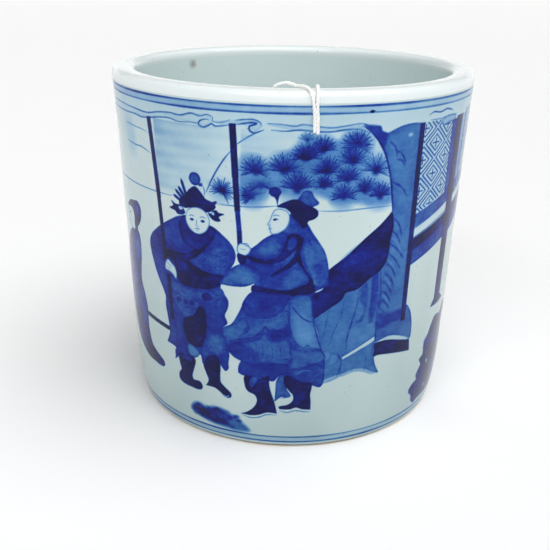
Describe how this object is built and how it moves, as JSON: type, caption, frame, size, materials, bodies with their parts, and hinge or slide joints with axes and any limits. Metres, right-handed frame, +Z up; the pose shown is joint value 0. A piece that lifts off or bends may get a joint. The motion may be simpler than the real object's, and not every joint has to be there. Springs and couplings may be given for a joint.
{
  "type": "brush holder pot",
  "caption": "Cylindrical porcelain brush holder pot with a thick rounded lip, painted in blue with figures by a tent, and a string looped over the rim.",
  "frame": {"origin": "centre of the foot ring, on the surface that the pot stands on", "axes": "+Z up along the pot's axis, -Y towards the front of the painting"},
  "size_m": [0.1796, 0.181, 0.1759],
  "materials": {
    "biscuit": "unglazed porcelain, fine and matt, faintly rusty at the edge of the glaze",
    "painted_glaze": "cobalt painting under a glossy, faintly blue-green clear glaze",
    "white_glaze": "thick glossy white glaze",
    "clear_glaze": "glossy, faintly grey-green clear glaze",
    "cotton": "soft two-ply white cotton string"
  },
  "bodies": {
    "root": {"wall_body": "biscuit", "base_slab": "biscuit", "outer_glaze": "painted_glaze", "lip_glaze": "white_glaze", "inner_glaze": "clear_glaze", "base_glaze": "clear_glaze", "tie_string": "cotton"}
  },
  "joints": []
}
